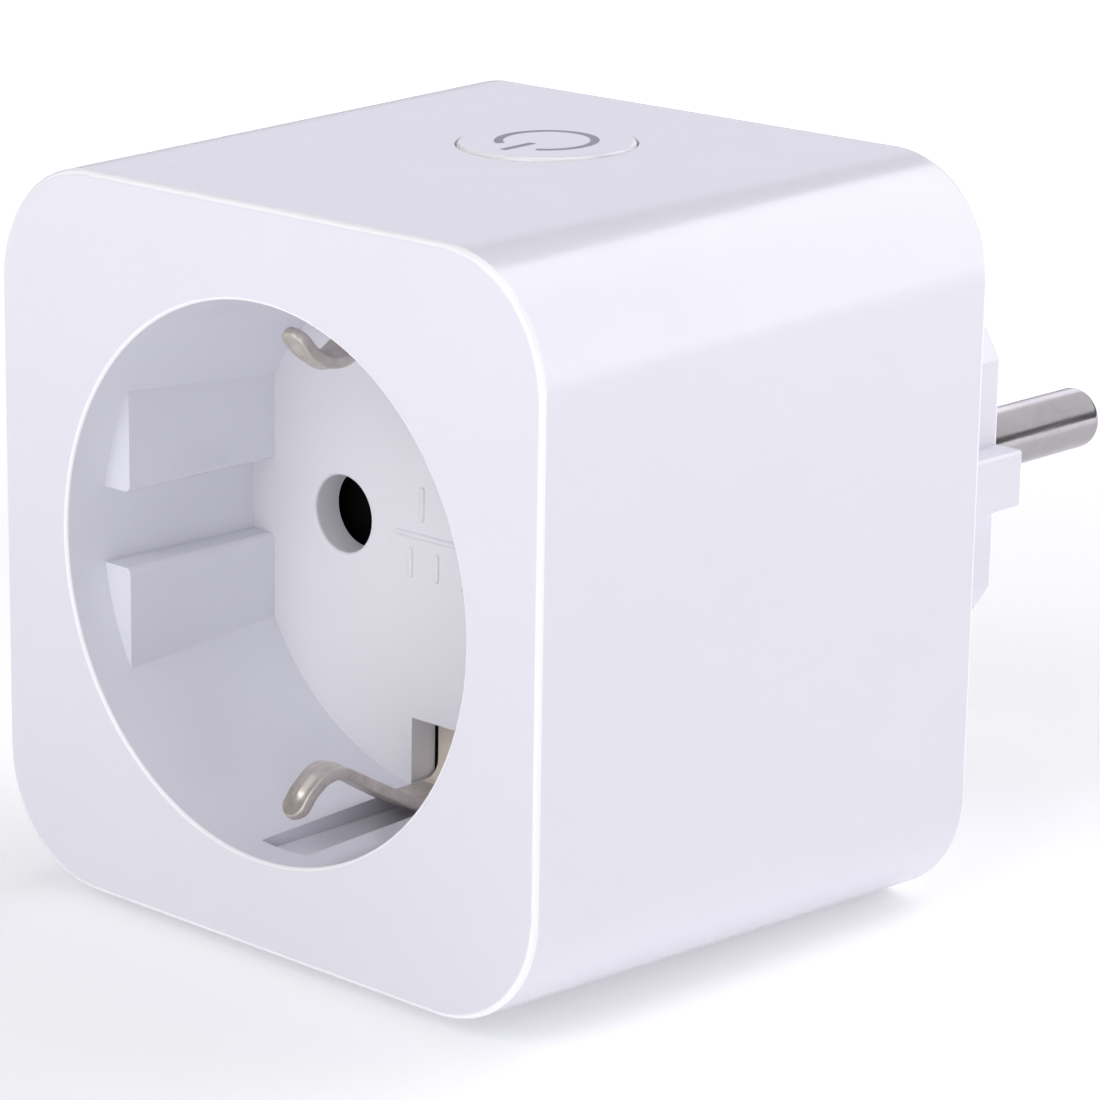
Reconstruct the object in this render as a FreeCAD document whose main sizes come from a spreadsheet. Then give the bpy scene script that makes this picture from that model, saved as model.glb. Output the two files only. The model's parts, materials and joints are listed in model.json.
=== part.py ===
import FreeCAD, Part
import math
import os
import re
import Sketcher

# Plug-in socket adapter with a power meter inside.
#
# Every piece is drawn about the socket axis: X to the right, Y from the front face (Y = 0)
# back to the pin tips, Z up. Each body is then moved so that the origin of the model lies
# under the middle of the object, at the height of the surface that it stands on.

Vector = FreeCAD.Vector
Rotation = FreeCAD.Rotation

SIZES = [
    # housing
    ("front_width", 52.3, "housing width at the front face"),
    ("front_height", 52.5, "housing height at the front face"),
    ("front_corner", 9.0, "corner radius at the front face"),
    ("rear_width", 54.5, "housing width at the rear edge"),
    ("rear_height", 54.9, "housing height at the rear edge"),
    ("rear_corner", 8.4, "corner radius at the rear edge"),
    ("depth", 44.5, "housing depth"),
    ("wall", 2.0, "housing wall"),
    ("front_round", 0.45, "rounding of the front edge"),
    ("rear_round", 0.5, "rounding of the rear edge"),
    ("boss_offset", 20.6, "corner screw boss, from the socket axis"),
    ("boss_radius", 2.7, "corner screw boss"),
    # socket recess
    ("mouth_radius", 19.6, "recess radius at the mouth"),
    ("cup_radius", 18.95, "recess radius at the floor"),
    ("cup_depth", 17.5, "recess depth"),
    ("cup_wall", 1.6, "recess wall"),
    ("lip_round", 0.3, "rounding of the recess lip"),
    ("pin_offset", 9.5, "plug pin and socket hole, from the axis"),
    ("hole_radius", 2.85, "socket hole"),
    ("guide_face", 16.6, "guide block face, from the axis"),
    ("guide_low", 2.8, "guide block, lower edge from the axis"),
    ("guide_tall", 7.9, "guide block height, up to the recess wall"),
    ("guide_front", 3.4, "guide block front end"),
    ("guide_round", 0.5, "rounding of the guide block edges"),
    ("channel_half", 2.3, "half width of the clip channel"),
    ("channel_floor", 20.2, "clip channel floor, from the axis"),
    ("channel_front", 2.6, "front end of the clip channel"),
    ("slot_inner", 13.75, "clip slot in the socket floor, inner end from the axis"),
    ("floor_thick", 2.4, "socket floor thickness"),
    # earth strip
    ("strip_thick", 0.8, "earth strip thickness"),
    ("strip_half", 2.1, "half width of the earth strip"),
    ("strip_gap", 0.1, "gap between floor and strip"),
    ("strip_turn", 19.0, "middle of the strip where it runs forward, from the axis"),
    ("strip_bend", 1.6, "bend radius of the strip behind the floor"),
    ("clip_root", 17.0, "root of the sprung clip"),
    ("clip_split", 0.12, "half the gap between the strip and the clip at the root"),
    # shutter
    ("shutter_radius", 13.2, "shutter disc"),
    ("shutter_thick", 1.6, "shutter disc thickness"),
    ("shutter_angle", 40, "turn that opens the shutter"),
    ("hub_radius", 2.0, "shutter pivot post"),
    ("spring_wire", 0.3, "half the thickness of the shutter spring wire"),
    ("spring_leg", 0.9, "straight leg of the shutter spring"),
    ("post_offset", 11.0, "carrier post, from the axis in X and in Z"),
    ("carrier_y", 25.4, "front of the contact carrier"),
    ("carrier_thick", 1.8, "contact carrier plate"),
    # plug
    ("plug_radius", 18.25, "plug body"),
    ("plug_flat", 16.0, "plug side flats, from the axis"),
    ("plug_length", 17.2, "plug body length"),
    ("room_half", 13.8, "half width of the room in the plug body"),
    ("room_low", 10.6, "half height of the room in the plug body"),
    ("key_reach", 18.3, "plug side key, from the axis"),
    ("key_half", 2.2, "half height of the plug side key"),
    ("key_round", 0.3, "rounding of the side key"),
    ("pin_radius", 2.4, "plug pin"),
    ("pin_neck", 2.2, "plug pin inside the plug body"),
    ("pin_length", 19.0, "plug pin length outside the plug body"),
    ("pin_tip", 0.7, "rounding of the pin tip"),
    ("earth_hole_z", 10.0, "earth pin hole, above the axis"),
    ("sleeve_radius", 3.0, "outside of the earth pin sleeve"),
    ("earth_face", 16.4, "plug earth contact face, from the axis"),
    # button
    ("button_y", 28.3, "button centre, behind the front face"),
    ("button_radius", 6.4, "button cap"),
    ("button_gap", 0.15, "gap round the button"),
    ("button_top", 27.22, "middle of the button top, above the socket axis"),
    ("button_low", 23.6, "lowest edge of the button cap"),
    ("icon_radius", 3.75, "outside of the icon ring"),
    ("icon_line", 0.65, "line width of the icon"),
    ("icon_deep", 0.4, "depth of the icon inlay"),
    # boards
    ("main_y", 38.6, "front face of the main board"),
    ("main_thick", 1.6, "main board thickness"),
    ("main_half", 23.0, "half width of the main board"),
    ("control_z", 19.6, "top face of the control board, above the axis"),
    ("control_thick", 1.2, "control board thickness"),
    ("ledge_inner", 15.2, "ledge under the control board, inner end from the axis"),
    ("ledge_reach", 9.4, "length of the ledge"),
]

doc = FreeCAD.newDocument("plug_in_power_meter")
sheet = doc.addObject("Spreadsheet::Sheet", "Sizes")
for row, (alias, value, note) in enumerate(SIZES, start=1):
    sheet.set(f"A{row}", note)
    sheet.set(f"B{row}", str(value))
    sheet.setAlias(f"B{row}", alias)
doc.recompute()

CUP_BACK = "cup_depth + floor_thick"
STRIP_Y = "cup_depth + floor_thick + strip_gap"
PLUG_END = "depth + plug_length"
OVERALL = "depth + plug_length + pin_length"
SIDES = (-1, 1)
CORNERS = [(sx, sz) for sx in SIDES for sz in SIDES]

pieces = []


# ---------------------------------------------------------------- helpers

def formula(text):
    """Turn cell names in a sum into references to the sheet."""
    return re.sub(r"[a-z]\w+", lambda name: "Sizes." + name.group(), str(text))


def size(alias):
    return float(sheet.get(alias))


# The top of the housing rises to the rear, and the button is square to it.
TOP_RISE = "(rear_height - front_height) / 2 / depth"
TOP_TILT = math.atan2((size("rear_height") - size("front_height")) / 2, size("depth"))

ALONG = {
    "x": Rotation(Vector(0, 1, 0), 90),
    "y": Rotation(Vector(1, 0, 0), -90),
    "z": Rotation(),
    "button": Rotation(Vector(1, 0, 0), math.degrees(TOP_TILT)),
}


def bind(item, **formulas):
    for prop, text in formulas.items():
        item.setExpression(prop, formula(text))


def move(item, x, y, z):
    for axis, text in zip("xyz", (x, y, z)):
        item.setExpression("Placement.Base." + axis, formula(text))


def stand(item):
    """Move a finished piece from the socket axis to the frame of the whole object."""
    move(item, 0, f"-({OVERALL}) / 2", "rear_height / 2")
    pieces.append(item)
    return item


def piece(label):
    body = doc.addObject("PartDesign::Body", label)
    body.Label = label
    return stand(body)


def shaped(label, shape):
    """A piece whose shape is made by a function from sizes in the sheet."""
    item = doc.addObject("Part::Feature", label)
    item.Label = label
    item.Shape = shape
    return stand(item)


def box(body, name, low, extent, cut=False):
    kind = "Subtractive" if cut else "Additive"
    item = body.newObject(f"PartDesign::{kind}Box", name)
    bind(item, Length=extent[0], Width=extent[1], Height=extent[2])
    move(item, *low)
    return item


def mid_box(body, name, half_width, y, length, low_z, height, cut=False):
    """A box centred on X = 0."""
    return box(body, name, (f"-({half_width})", y, low_z), (f"2 * ({half_width})", length, height), cut)


def rod(body, name, base, radius, length, along="y", cut=False):
    kind = "Subtractive" if cut else "Additive"
    item = body.newObject(f"PartDesign::{kind}Cylinder", name)
    item.Placement = FreeCAD.Placement(Vector(), ALONG[along])
    bind(item, Radius=radius, Height=length)
    move(item, *base)
    return item


def button_rod(body, name, low, radius, length, cut=False):
    """A rod on the button's axis, from the height low; the axis meets the middle of its top."""
    base = (0, f"button_y + (button_top - ({low})) * {TOP_RISE}", low)
    return rod(body, name, base, radius, length, along="button", cut=cut)


def cone(body, name, base, radius, end_radius, length, along="y", cut=False):
    kind = "Subtractive" if cut else "Additive"
    item = body.newObject(f"PartDesign::{kind}Cone", name)
    item.Placement = FreeCAD.Placement(Vector(), ALONG[along])
    bind(item, Radius1=radius, Radius2=end_radius, Height=length)
    move(item, *base)
    return item


def round_edges(body, name, radius, test):
    """Round the edges of the body so far for which the test holds."""
    doc.recompute()
    last = body.Tip
    chosen = [f"Edge{n}" for n, edge in enumerate(last.Shape.Edges, start=1) if test(edge)]
    item = body.newObject("PartDesign::Fillet", name)
    item.Base = (last, chosen)
    bind(item, Radius=radius)
    return item


def origin_plane(body, role):
    return next(item for item in body.Origin.OriginFeatures if item.Role == role)


def rounded_frame(body, name, width, height, corner, y):
    """A sketch of a rectangle with round corners, square to Y at the distance y."""
    sketch = body.newObject("Sketcher::SketchObject", name)
    sketch.AttachmentSupport = [(origin_plane(body, "XZ_Plane"), "")]
    sketch.MapMode = "FlatFace"
    sketch.setExpression("AttachmentOffset.Base.z", formula(f"-({y})"))
    a, b, r = 20.0, 18.0, 5.0
    ends = [
        ((-a + r, -b), (a - r, -b)), ((a, -b + r), (a, b - r)),
        ((a - r, b), (-a + r, b)), ((-a, b - r), (-a, -b + r)),
    ]
    centres = [(a - r, -b + r), (a - r, b - r), (-a + r, b - r), (-a + r, -b + r)]
    for turn, ((start, end), centre) in enumerate(zip(ends, centres)):
        sketch.addGeometry(Part.LineSegment(Vector(*start, 0), Vector(*end, 0)))
        circle = Part.Circle(Vector(*centre, 0), Vector(0, 0, 1), r)
        first = math.radians(90 * turn - 90)
        sketch.addGeometry(Part.ArcOfCircle(circle, first, first + math.pi / 2))
    line = [0, 2, 4, 6]
    arc = [1, 3, 5, 7]
    add = sketch.addConstraint
    for here in range(4):
        add(Sketcher.Constraint("Tangent", line[here], 2, arc[here], 1))
        add(Sketcher.Constraint("Tangent", arc[here], 2, line[(here + 1) % 4], 1))
    add(Sketcher.Constraint("Horizontal", 4))
    add(Sketcher.Constraint("Vertical", 2))
    for other in arc[1:]:
        add(Sketcher.Constraint("Equal", arc[0], other))
    add(Sketcher.Constraint("Symmetric", 0, 1, 0, 2, -2))
    add(Sketcher.Constraint("Symmetric", 6, 1, 6, 2, -1))
    named = [
        ("corner", Sketcher.Constraint("Radius", arc[0], r), corner),
        ("width", Sketcher.Constraint("DistanceX", 6, 1, 2, 1, 2 * a), width),
        ("height", Sketcher.Constraint("DistanceY", 0, 1, 4, 2, 2 * b), height),
    ]
    for label, constraint, text in named:
        number = add(constraint)
        sketch.renameConstraint(number, label)
        sketch.setExpression("Constraints." + label, formula(text))
    return sketch


def loft(body, name, first, second, cut=False):
    """A ruled loft; the first sketch is the rear one, because the sketches face the front."""
    kind = "Subtractive" if cut else "Additive"
    item = body.newObject(f"PartDesign::{kind}Loft", name)
    item.Profile = first
    item.Sections = [second]
    item.Ruled = True
    return item


def bent_strip(points, radii, thick):
    """Section, in Y and Z, of a strip that follows the points and is bent round the radii."""
    spots = [Vector(0, y, z) for y, z in points]
    edges = []
    start = spots[0]
    for before, corner, after, radius in zip(spots, spots[1:], spots[2:], radii):
        back = (before - corner).normalize()
        ahead = (after - corner).normalize()
        half = back.getAngle(ahead) / 2
        reach = radius / math.tan(half)
        middle = corner + (back + ahead).normalize() * (radius / math.sin(half) - radius)
        enter = corner + back * reach
        leave = corner + ahead * reach
        edges.append(Part.LineSegment(start, enter).toShape())
        edges.append(Part.Arc(enter, middle, leave).toShape())
        start = leave
    edges.append(Part.LineSegment(start, spots[-1]).toShape())
    line = Part.Wire(edges)
    # The strip lies on both sides of its middle line, with round ends.
    section = line.makeOffset2D(thick / 2, join=0, fill=False, openResult=False)
    return Part.Face(section)


# ---------------------------------------------------------------- housing

def on_plane(edge, y):
    return all(abs(v.Point.y - y) < 0.01 for v in edge.Vertexes)


def front_shell():
    body = piece("front_shell")
    front = rounded_frame(body, "shell_front", "front_width", "front_height", "front_corner", 0)
    rear = rounded_frame(body, "shell_rear", "rear_width", "rear_height", "rear_corner", "depth")
    loft(body, "shell_outside", rear, front)
    depth = size("depth")
    round_edges(body, "shell_front_edge", "front_round", lambda edge: on_plane(edge, 0))
    round_edges(body, "shell_rear_edge", "rear_round", lambda edge: on_plane(edge, depth))
    inner_front = rounded_frame(body, "room_front", "front_width - 2 * wall",
                                "front_height - 2 * wall", "front_corner - wall", "wall")
    inner_rear = rounded_frame(body, "room_rear", "rear_width - 2 * wall",
                               "rear_height - 2 * wall", "rear_corner - wall", "depth + 0.1")
    loft(body, "shell_room", inner_rear, inner_front, cut=True)
    rod(body, "cup_outside", (0, "wall / 2", 0), "mouth_radius + cup_wall", f"{CUP_BACK} - wall / 2")
    for sx, sz in CORNERS:
        spot = (f"{sx} * boss_offset", "wall / 2", f"{sz} * boss_offset")
        rod(body, "screw_boss", spot, "boss_radius", "depth - wall - wall / 2 - 0.1")
    # Ledges that carry the ends of the control board.
    for side in SIDES:
        low = "ledge_inner" if side > 0 else "-(ledge_inner + ledge_reach)"
        box(body, "board_ledge", (low, 26, "control_z - control_thick - 1.4"),
            ("ledge_reach", 10, 1.3))
    cone(body, "cup_inside", (0, 0, 0), "mouth_radius", "cup_radius", "cup_depth", cut=True)
    rod(body, "floor_seat", (0, "cup_depth", 0), "cup_radius + 0.6", "floor_thick + 0.1", cut=True)
    on_lip = lambda edge: on_plane(edge, 0) and 19 < edge.BoundBox.XMax < 20
    round_edges(body, "cup_lip", "lip_round", on_lip)
    face = size("guide_face")
    low = size("guide_low")
    for sx, sz in CORNERS:
        low_x = "guide_face" if sx > 0 else "-(mouth_radius + 0.6)"
        low_z = "guide_low" if sz > 0 else "-(guide_low + guide_tall)"
        extent = ("mouth_radius + 0.6 - guide_face", "cup_depth - guide_front", "guide_tall")
        box(body, "guide_block", (low_x, "guide_front", low_z), extent)

    def beside_key_gap(edge):
        spots = [v.Point for v in edge.Vertexes]
        return all(abs(abs(p.x) - face) < 0.01 and abs(abs(p.z) - low) < 0.01 for p in spots)

    round_edges(body, "guide_edges", "guide_round", beside_key_gap)
    for side in SIDES:
        low_z = "channel_floor - 3" if side > 0 else "-channel_floor"
        mid_box(body, "clip_channel", "channel_half", "channel_front",
                f"{CUP_BACK} - channel_front + 0.1", low_z, 3, cut=True)
    for sx, sz in CORNERS:
        spot = (f"{sx} * boss_offset", "depth - wall - 12", f"{sz} * boss_offset")
        rod(body, "screw_hole", spot, 0.95, 14, cut=True)
    button_rod(body, "button_hole", "button_low", "button_radius + button_gap", 6, cut=True)


def rear_cover():
    body = piece("rear_cover")
    sketch = rounded_frame(body, "cover_outline", "rear_width - 2 * wall - 0.5",
                           "rear_height - 2 * wall - 0.5", "rear_corner - wall - 0.2",
                           "depth - wall")
    plate = body.newObject("PartDesign::Pad", "cover_plate")
    plate.Profile = sketch
    plate.Reversed = True
    bind(plate, Length="wall")
    rod(body, "plug_round", (0, "depth - wall", 0), "plug_radius", "plug_length + wall")
    for side in SIDES:
        low = "plug_flat" if side > 0 else "-(plug_flat + 4)"
        box(body, "plug_side", (low, "depth", -20), (4, "plug_length + 1", 40), cut=True)
    end = size("depth") + size("plug_length")
    round_edges(body, "plug_end_edge", 0.6, lambda edge: on_plane(edge, end))
    for side in SIDES:
        low = "plug_flat - 1" if side > 0 else "-key_reach"
        extent = ("key_reach - plug_flat + 1", "plug_length + wall", "2 * key_half")
        box(body, "plug_key", (low, "depth - wall", "-key_half"), extent)
    flat = size("plug_flat")

    def on_key(edge):
        middle = edge.BoundBox.Center
        return abs(middle.x) > flat + 0.2 and middle.y > end - size("plug_length") + 0.5

    round_edges(body, "key_edges", "key_round", on_key)
    # The plug body is hollow, with walls round the pins and the earth sleeve.
    mid_box(body, "plug_room", "room_half", "depth - wall", "plug_length - 0.2", "-room_low",
            "2 * room_low", cut=True)
    for side in SIDES:
        rod(body, "pin_wall", (f"{side} * pin_offset", "depth", 0), 4.0, "plug_length")
        rod(body, "pin_hole", (f"{side} * pin_offset", "depth - 1", 0), "pin_neck + 0.01",
            "plug_length + 2", cut=True)
    sleeve_y = "depth + 1.5"
    rod(body, "sleeve_wall", (0, sleeve_y, "earth_hole_z"), 4.2, "plug_length - 1.5")
    rod(body, "sleeve_hole", (0, "depth", "earth_hole_z"), "sleeve_radius + 0.01",
        "plug_length + 1", cut=True)
    for side in SIDES:
        low_z = "earth_face - 1.1" if side > 0 else "-(earth_face - 1.1) - 4"
        mid_box(body, "earth_groove", 3.0, "depth + 0.6", "plug_length", low_z, 4, cut=True)
        low_z = "room_low - 0.1" if side > 0 else -15.5
        mid_box(body, "yoke_slot", 2.5, "depth + 0.6", 1.0, low_z, "15.6 - room_low", cut=True)
        for sx in SIDES:
            spot = (f"{12 * sx}", "main_y + main_thick + 0.05", f"{21 * side}")
            rod(body, "board_rest", spot, 1.5, "depth - main_y - main_thick - 1.0")
    for sx, sz in CORNERS:
        spot = (f"{sx} * boss_offset", "depth - wall - 1", f"{sz} * boss_offset")
        rod(body, "screw_way", spot, 1.2, 4, cut=True)
        spot = (f"{sx} * boss_offset", "depth - 1.2", f"{sz} * boss_offset")
        rod(body, "screw_seat", spot, 2.2, 2, cut=True)
    mid_box(body, "link_way", 1.2, "depth - wall - 1", 5, 13.0, 2.5, cut=True)


def screw(radius, head_radius, head_thick, length, drive):
    """A pan-head screw with a cross drive; its head ends at the origin and it points to -Y."""
    back = Vector(0, -1, 0)
    head = Part.makeCylinder(head_radius, head_thick, Vector(), back)
    rim = [edge for edge in head.Edges if abs(edge.BoundBox.YMax) < 0.01 and edge.Closed]
    head = head.makeFillet(head_thick * 0.35, rim)
    shank = Part.makeCylinder(radius, length, Vector(0, -head_thick, 0), back)
    tip = Part.makeCone(radius, 0.3, radius, Vector(0, -head_thick - length, 0), back)
    body = head.fuse([shank, tip])
    for across in (Vector(drive, head_thick, 0.35), Vector(0.35, head_thick, drive)):
        corner = Vector(-across.x / 2, -0.5 * head_thick, -across.z / 2)
        body = body.cut(Part.makeBox(across.x, across.y, across.z, corner))
    return body.removeSplitter()


def screws(label, spots, *sizes):
    one = screw(*sizes)
    copies = [one.translated(Vector(*spot)) for spot in spots]
    return shaped(label, Part.makeCompound(copies))


def housing_screws():
    offset = size("boss_offset")
    face = size("depth") - 0.15
    spots = [(sx * offset, face, sz * offset) for sx, sz in CORNERS]
    screws("rear_screws", spots, 0.9, 2.0, 1.0, 9.0, 2.2)


# ---------------------------------------------------------------- plug

def plug_pin(label, side):
    body = piece(label)
    x = f"{side} * pin_offset"
    rod(body, "pin_shank", (x, PLUG_END, 0), "pin_radius", "pin_length")
    rod(body, "pin_neck", (x, "depth + 5.5", 0), "pin_neck", "plug_length - 5.4")
    rod(body, "pin_tail", (x, "main_y - 0.4", 0), 1.2, "depth + 6 - main_y")
    end = size("depth") + size("plug_length") + size("pin_length")
    round_edges(body, "pin_end", "pin_tip", lambda edge: on_plane(edge, end))


def plug_earth():
    for label, side in (("plug_earth_contact_top", 1), ("plug_earth_contact_bottom", -1)):
        body = piece(label)
        low_z = "earth_face - 1.0" if side > 0 else "-earth_face"
        mid_box(body, "contact_plate", 2.5, "depth + 0.7", "plug_length - 1.2", low_z, 1.0)
        tail_z = 15.0 if side > 0 else -15.5
        mid_box(body, "contact_tail", 2.3, "depth + 0.7", 0.8, tail_z, 0.5)
        face = size("earth_face")
        outer = lambda edge: all(abs(abs(v.Point.z) - face) < 0.01 for v in edge.Vertexes)
        round_edges(body, "contact_edges", 0.35, outer)
    body = piece("plug_earth_yoke")
    mid_box(body, "yoke_strip", 2.3, "depth + 0.7", 0.8, -14.95, 29.9)
    body = piece("earth_pin_sleeve")
    length = "plug_length - 1.7"
    rod(body, "sleeve_outside", (0, "depth + 1.5", "earth_hole_z"), "sleeve_radius", length)
    rod(body, "sleeve_bore", (0, "depth + 1.0", "earth_hole_z"), "sleeve_radius - 0.5",
        "plug_length", cut=True)
    body = piece("earth_link")
    start = f"{STRIP_Y} + strip_thick"
    rod(body, "link_rod", (0, start, 14.2), 0.8, f"depth + 0.7 - ({start})")


# ---------------------------------------------------------------- socket

def socket_floor():
    body = piece("socket_floor")
    rod(body, "floor_disc", (0, "cup_depth", 0), "cup_radius + 0.5", "floor_thick")
    rod(body, "shutter_pivot", (0, "cup_depth + 1", 0), "hub_radius",
        "carrier_y - cup_depth - 1.05")
    for sx, sz in CORNERS:
        spot = (f"{sx} * post_offset", "cup_depth + 1", f"{sz} * post_offset")
        rod(body, "carrier_post", spot, 1.8, "carrier_y - cup_depth - 1.05")
    for side in SIDES:
        spot = (f"{side} * pin_offset", "cup_depth - 1", 0)
        rod(body, "pin_way", spot, "hole_radius", "floor_thick + 2", cut=True)
        low_z = "slot_inner" if side > 0 else "-(slot_inner + 7)"
        mid_box(body, "clip_slot", "channel_half + 0.05", "cup_depth - 1", "floor_thick + 2",
                low_z, 7, cut=True)
        spot = (f"{side} * post_offset", "carrier_y - 5", f"{side} * post_offset")
        rod(body, "screw_hole", spot, 0.75, 6, cut=True)
    mouth = size("cup_depth")
    hole_edge = lambda edge: on_plane(edge, mouth) and edge.Closed and edge.BoundBox.XLength < 6
    round_edges(body, "hole_edges", 0.25, hole_edge)


def contact_carrier():
    body = piece("contact_carrier")
    rod(body, "carrier_plate", (0, "carrier_y", 0), 17.3, "carrier_thick")
    for side in SIDES:
        x = f"{side} * pin_offset"
        rod(body, "contact_tube", (x, "carrier_y", 0), 4.6, 9.6)
        rod(body, "lead_in", (x, "carrier_y - 1", 0), "hole_radius + 0.05", 12, cut=True)
        rod(body, "contact_seat", (x, "carrier_y + carrier_thick", 0), 3.35, 10, cut=True)
        low = "-pin_offset - 1.3" if side < 0 else "pin_offset - 1.3"
        box(body, "tail_slot", (low, "carrier_y + 7", 2), (2.6, 4, 4), cut=True)
        spot = (f"{side} * post_offset", "carrier_y - 1", f"{side} * post_offset")
        rod(body, "screw_way", spot, 0.95, 4, cut=True)
    rod(body, "link_way", (0, "carrier_y - 1", 14.2), 1.1, 4, cut=True)
    offset = size("post_offset")
    head = 0.9
    back = size("carrier_y") + size("carrier_thick") + head
    spots = [(side * offset, back, side * offset) for side in SIDES]
    screws("carrier_screws", spots, 0.7, 1.6, head, 4.5, 1.8)


def socket_contact(label, side):
    """A slit sleeve that grips one pin of the plug, with a tail to the main board."""
    body = piece(label)
    x = f"{side} * pin_offset"
    start = "carrier_y + carrier_thick + 0.2"
    rod(body, "sleeve", (x, start, 0), 3.25, "main_y - carrier_y - carrier_thick - 2.4")
    rod(body, "bore", (x, "carrier_y", 0), "pin_radius + 0.05", 14, cut=True)
    low = "-pin_offset - 0.3" if side < 0 else "pin_offset - 0.3"
    box(body, "slit", (low, start, -4), (0.6, 6.5, 8), cut=True)
    low = "-pin_offset - 1" if side < 0 else "pin_offset - 1"
    box(body, "tail", (low, "carrier_y + 8.5", 2.7), (2, "main_y - carrier_y - 8.5 + 2.2", 0.6))


def earth_strip():
    """The strip behind the floor, and the two sprung clips at its ends."""
    thick = size("strip_thick")
    half = size("strip_half")
    turn = -size("strip_turn")
    root = size("clip_root")
    gap = size("clip_split") + thick / 2
    y = size("cup_depth") + size("floor_thick") + size("strip_gap") + thick / 2
    section = bent_strip([(y, 0), (y, turn), (root + gap, turn)], [size("strip_bend")], thick)
    lower = section.extrude(Vector(2 * half, 0, 0)).translated(Vector(-half, 0, 0))
    upper = lower.mirror(Vector(), Vector(0, 0, 1))
    pad = Part.makeCylinder(5.0, thick, Vector(0, y - thick / 2, 0), Vector(0, 1, 0))
    hole = Part.makeCylinder(size("hub_radius") + 0.3, 2, Vector(0, y - 1, 0), Vector(0, 1, 0))
    shaped("earth_bridge", lower.fuse([upper, pad]).cut(hole).removeSplitter())
    # The clip rises forward to its crest, then falls in a rounded leaf to its tip.
    path = [(root - gap, turn), (14.65, turn), (6.56, -14.23), (4.46, -15.76), (2.92, -17.6)]
    section = bent_strip(path, [3.0, 2.4, 3.0], thick)
    arm = section.extrude(Vector(2 * half, 0, 0)).translated(Vector(-half, 0, 0))
    clip = arm.common(clip_blank(half))
    shaped("earth_clip_bottom", clip)
    shaped("earth_clip_top", clip.mirror(Vector(), Vector(0, 0, 1)))


def clip_blank(half):
    """The clip seen along Z, as a tall prism: full width at the root, narrowing to a round tip."""
    crest_half = 1.45
    leaf_half = 1.1
    right = [(half, 20), (half, 13), (crest_half, 8.2), (leaf_half, 4.3)]
    left = [(-x, y) for x, y in reversed(right)]
    corners = [Vector(x, y, -25) for x, y in left + right]
    tip = Vector(0, 2.6, -25)
    outline = Part.Wire([Part.makePolygon(corners), Part.Arc(corners[-1], tip, corners[0]).toShape()])
    return Part.Face(outline).extrude(Vector(0, 0, 25))


def shutter():
    body = piece("shutter_disc")
    front = f"{STRIP_Y} + strip_thick + 0.3"
    rod(body, "disc", (0, front, 0), "shutter_radius", "shutter_thick")
    rod(body, "hub", (0, front, 0), 3.2, "shutter_thick + 0.6")
    rod(body, "pivot_hole", (0, "cup_depth", 0), "hub_radius + 0.05", 12, cut=True)
    turn = math.radians(size("shutter_angle"))
    for side in SIDES:
        x = side * size("pin_offset") * math.cos(turn)
        z = side * size("pin_offset") * math.sin(turn)
        cone(body, "window", (x, "cup_depth + 2", z), 3.6, 3.0, 5, cut=True)
    shutter_spring()


def shutter_spring():
    """Open torsion ring round the pivot, behind the disc, with a straight leg at each end."""
    wire = size("spring_wire")
    mean = size("hub_radius") + wire + 0.25
    middle = Vector(0, size("carrier_y") - wire - 0.6, 0)
    ring = Part.makeTorus(mean, wire, middle, Vector(0, 1, 0), -180, 180, 300)
    ends = [face for face in ring.Faces if isinstance(face.Surface, Part.Plane)]
    legs = [Part.makeCylinder(wire, size("spring_leg"), end.CenterOfMass, end.normalAt(0, 0))
            for end in ends]
    shaped("shutter_spring", ring.fuse(legs).removeSplitter())


# ---------------------------------------------------------------- button

def icon_solid(grow):
    """The ring with a gap towards the front, and the bar in the gap, sunk in the cap."""
    outer = size("icon_radius") + grow
    inner = size("icon_radius") - size("icon_line") - grow
    half = size("icon_line") / 2 + grow
    middle = Vector(0, size("button_y"), size("button_top"))
    ring = Part.Face(Part.Wire(Part.makeCircle(outer, middle)))
    ring = ring.cut(Part.Face(Part.Wire(Part.makeCircle(inner, middle))))
    spread = 2 * outer * math.tan(math.radians(30))
    wedge = Part.makePolygon([middle, middle + Vector(-spread, -2 * outer, 0),
                              middle + Vector(spread, -2 * outer, 0), middle])
    ring = ring.cut(Part.Face(wedge))
    bar = Part.makePlane(2 * half, 3.2 + 2 * grow, middle + Vector(-half, -4.6 - grow, 0))
    sink = Vector(0, 0, -size("icon_deep"))
    solids = [ring.extrude(sink), bar.extrude(sink)]
    for solid in solids:
        solid.rotate(middle, Vector(1, 0, 0), math.degrees(TOP_TILT))
    return Part.makeCompound(solids)


def button():
    turned = doc.addObject("PartDesign::Body", "cap_turned")
    radius = "button_radius"
    height = f"(button_top - button_low) / {math.cos(TOP_TILT)}"
    button_rod(turned, "cap_disc", "button_low", radius, height)
    button_rod(turned, "cap_flange", "button_low", "button_radius + 1", 0.9)
    top = size("button_top")
    rim = lambda edge: edge.Closed and abs(edge.BoundBox.Center.z - top) < 0.05
    round_edges(turned, "cap_rim", 0.35, rim)
    button_rod(turned, "cap_hollow", "button_low - 1", "button_radius - 1.2",
               "button_top - button_low + 1 - 1.4", cut=True)
    button_rod(turned, "cap_post", "button_low + 0.08", 1.2, "button_top - button_low - 1")
    sunk = doc.addObject("Part::Feature", "icon_groove")
    sunk.Shape = icon_solid(0.0)
    cap = doc.addObject("Part::Cut", "button_cap")
    cap.Label = "button_cap"
    cap.Base = turned
    cap.Tool = sunk
    stand(cap)
    shaped("button_icon", icon_solid(-0.01))


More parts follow.
